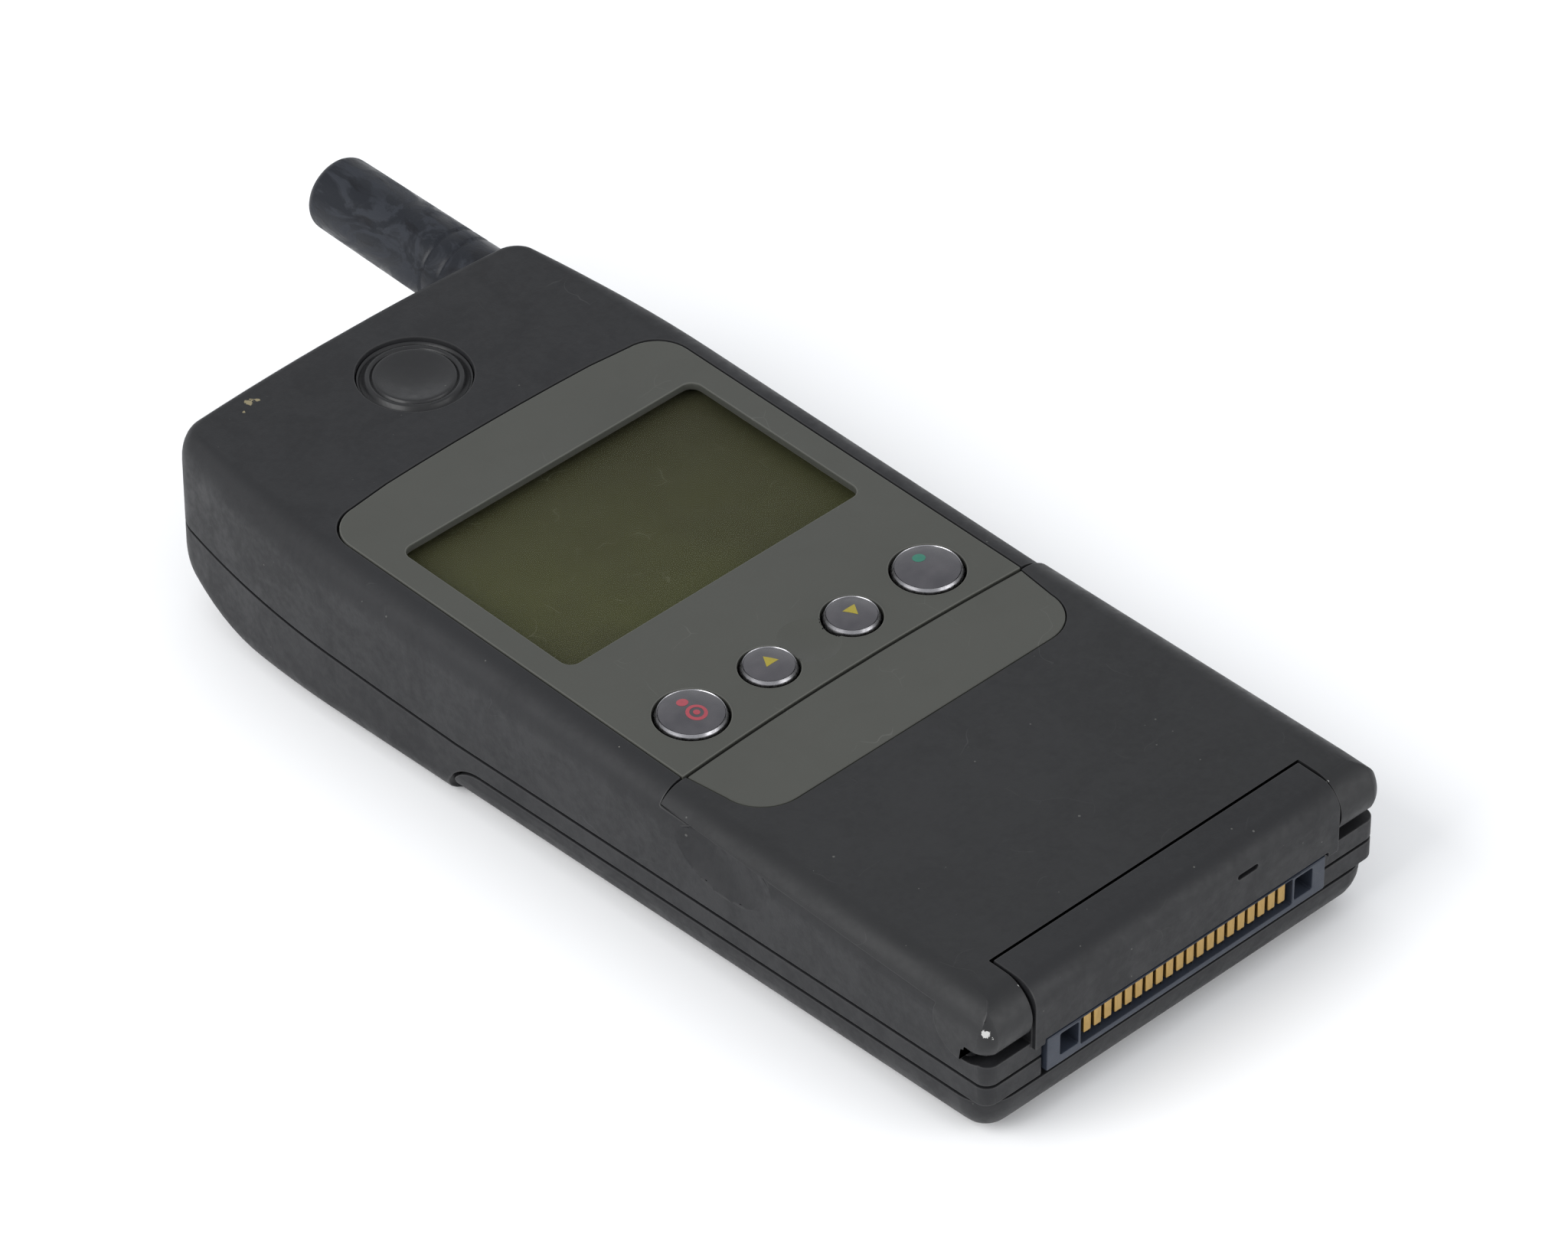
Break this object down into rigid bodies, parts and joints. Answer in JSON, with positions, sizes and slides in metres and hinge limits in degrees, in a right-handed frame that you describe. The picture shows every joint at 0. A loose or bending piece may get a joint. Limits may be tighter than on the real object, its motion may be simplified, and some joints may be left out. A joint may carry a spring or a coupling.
{
  "type": "mobile phone",
  "caption": "Compact slab mobile phone with a hinged flap over its keypad, a small display, round call keys, a stub antenna and a clip-on battery.",
  "frame": {"origin": "centre of the bounding box's underside: the phone lies on its battery and back, with z = 0 on the surface", "axes": "+Y from the bottom end with the connector towards the top end with the antenna, +Z out of the back towards the display side, +X to the right of someone who looks at the display"},
  "size_m": [0.0538, 0.145, 0.0222],
  "materials": {
    "housing": "fine grained charcoal moulding, worn satin where it is held",
    "battery_plastic": "fine grained charcoal moulding",
    "flap_plastic": "smooth charcoal moulding",
    "bezel": "warm grey paint, slightly metallic",
    "key_cap": "smoky translucent caps with a bright ring",
    "pad_key_cap": "grey caps",
    "lens": "clear window",
    "lcd": "olive reflective display",
    "light_plastic": "white diffuser frame",
    "rubber": "grey silicone",
    "antenna_rubber": "mottled glossy black rubber",
    "board": "green solder mask",
    "tin": "tinned sheet",
    "steel": "plain steel",
    "screw_steel": "black zinc",
    "gold": "gold plated contacts",
    "brass": "turned brass",
    "connector_plastic": "bluish black moulding",
    "dark_plastic": "black moulding"
  },
  "bodies": {
    "root": {"front_housing": "housing", "rear_housing": "housing", "earpiece_cover": "housing", "bezel_plate": "bezel", "display_lens": "lens", "lcd_glass": "lcd", "lcd_frame": "light_plastic", "keypad_mat": "rubber", "antenna_sleeve": "antenna_rubber", "main_board": "board", "shield_rf": "tin", "shield_logic": "tin", "earpiece_speaker": "tin", "microphone": "tin", "hinge_pin_left": "steel", "hinge_pin_right": "steel", "hinge_spring": "steel", "latch_spring": "steel", "screw_1": "screw_steel", "screw_2": "screw_steel", "screw_3": "screw_steel", "screw_4": "screw_steel", "connector_contacts": "gold", "battery_terminal_minus": "gold", "battery_terminal_plus": "gold", "antenna_bush": "brass", "antenna_coil": "brass", "connector_housing": "connector_plastic", "sim_holder": "dark_plastic", "buzzer": "dark_plastic"},
    "flap": {"flap_shell": "flap_plastic", "flap_inlay": "bezel"},
    "battery": {"battery_case": "battery_plastic", "battery_lid": "battery_plastic", "battery_cell_1": "steel", "battery_cell_2": "steel", "battery_cell_3": "steel", "battery_board": "board"},
    "latch": {"battery_latch": "battery_plastic"},
    "key_end": {"key_end": "key_cap"},
    "key_up": {"key_up": "key_cap"},
    "key_down": {"key_down": "key_cap"},
    "key_call": {"key_call": "key_cap"},
    "key_1": {"key_1": "pad_key_cap"},
    "key_2": {"key_2": "pad_key_cap"},
    "key_3": {"key_3": "pad_key_cap"},
    "key_4": {"key_4": "pad_key_cap"},
    "key_5": {"key_5": "pad_key_cap"},
    "key_6": {"key_6": "pad_key_cap"},
    "key_7": {"key_7": "pad_key_cap"},
    "key_8": {"key_8": "pad_key_cap"},
    "key_9": {"key_9": "pad_key_cap"},
    "key_star": {"key_star": "pad_key_cap"},
    "key_0": {"key_0": "pad_key_cap"},
    "key_hash": {"key_hash": "pad_key_cap"}
  },
  "joints": [
    {"name": "flap_hinge", "type": "hinge", "parent": "root", "child": "flap", "pos_m": [0, -0.06864, 0.01416], "axis": [1, 0, 0], "range_deg": [0, 145]},
    {"name": "battery_release", "type": "hinge", "parent": "root", "child": "battery", "pos_m": [0, -0.07226, 0.0055], "axis": [-1, 0, 0], "range_deg": [0, 20]},
    {"name": "latch_slide", "type": "slide", "parent": "root", "child": "latch", "axis": [0, 1, 0], "range_m": [0, 0.002], "stiffness_N_per_m": 400, "springref_m": -0.001, "deforming": ["latch_spring"]},
    {"name": "key_end_press", "type": "slide", "parent": "root", "child": "key_end", "axis": [0, 0.0471, -0.9989], "range_m": [0, 0.0005], "stiffness_N_per_m": 400, "springref_m": -0.0005},
    {"name": "key_up_press", "type": "slide", "parent": "root", "child": "key_up", "axis": [0, 0.0471, -0.9989], "range_m": [0, 0.0005], "stiffness_N_per_m": 400, "springref_m": -0.0005},
    {"name": "key_down_press", "type": "slide", "parent": "root", "child": "key_down", "axis": [0, 0.0471, -0.9989], "range_m": [0, 0.0005], "stiffness_N_per_m": 400, "springref_m": -0.0005},
    {"name": "key_call_press", "type": "slide", "parent": "root", "child": "key_call", "axis": [0, 0.0471, -0.9989], "range_m": [0, 0.0005], "stiffness_N_per_m": 400, "springref_m": -0.0005},
    {"name": "key_1_press", "type": "slide", "parent": "root", "child": "key_1", "axis": [0, 0.0471, -0.9989], "range_m": [0, 0.0005], "stiffness_N_per_m": 400, "springref_m": -0.0005},
    {"name": "key_2_press", "type": "slide", "parent": "root", "child": "key_2", "axis": [0, 0.0471, -0.9989], "range_m": [0, 0.0005], "stiffness_N_per_m": 400, "springref_m": -0.0005},
    {"name": "key_3_press", "type": "slide", "parent": "root", "child": "key_3", "axis": [0, 0.0471, -0.9989], "range_m": [0, 0.0005], "stiffness_N_per_m": 400, "springref_m": -0.0005},
    {"name": "key_4_press", "type": "slide", "parent": "root", "child": "key_4", "axis": [0, 0.0471, -0.9989], "range_m": [0, 0.0005], "stiffness_N_per_m": 400, "springref_m": -0.0005},
    {"name": "key_5_press", "type": "slide", "parent": "root", "child": "key_5", "axis": [0, 0.0471, -0.9989], "range_m": [0, 0.0005], "stiffness_N_per_m": 400, "springref_m": -0.0005},
    {"name": "key_6_press", "type": "slide", "parent": "root", "child": "key_6", "axis": [0, 0.0471, -0.9989], "range_m": [0, 0.0005], "stiffness_N_per_m": 400, "springref_m": -0.0005},
    {"name": "key_7_press", "type": "slide", "parent": "root", "child": "key_7", "axis": [0, 0.0471, -0.9989], "range_m": [0, 0.0005], "stiffness_N_per_m": 400, "springref_m": -0.0005},
    {"name": "key_8_press", "type": "slide", "parent": "root", "child": "key_8", "axis": [0, 0.0471, -0.9989], "range_m": [0, 0.0005], "stiffness_N_per_m": 400, "springref_m": -0.0005},
    {"name": "key_9_press", "type": "slide", "parent": "root", "child": "key_9", "axis": [0, 0.0471, -0.9989], "range_m": [0, 0.0005], "stiffness_N_per_m": 400, "springref_m": -0.0005},
    {"name": "key_star_press", "type": "slide", "parent": "root", "child": "key_star", "axis": [0, 0.0471, -0.9989], "range_m": [0, 0.0005], "stiffness_N_per_m": 400, "springref_m": -0.0005},
    {"name": "key_0_press", "type": "slide", "parent": "root", "child": "key_0", "axis": [0, 0.0471, -0.9989], "range_m": [0, 0.0005], "stiffness_N_per_m": 400, "springref_m": -0.0005},
    {"name": "key_hash_press", "type": "slide", "parent": "root", "child": "key_hash", "axis": [0, 0.0471, -0.9989], "range_m": [0, 0.0005], "stiffness_N_per_m": 400, "springref_m": -0.0005}
  ]
}
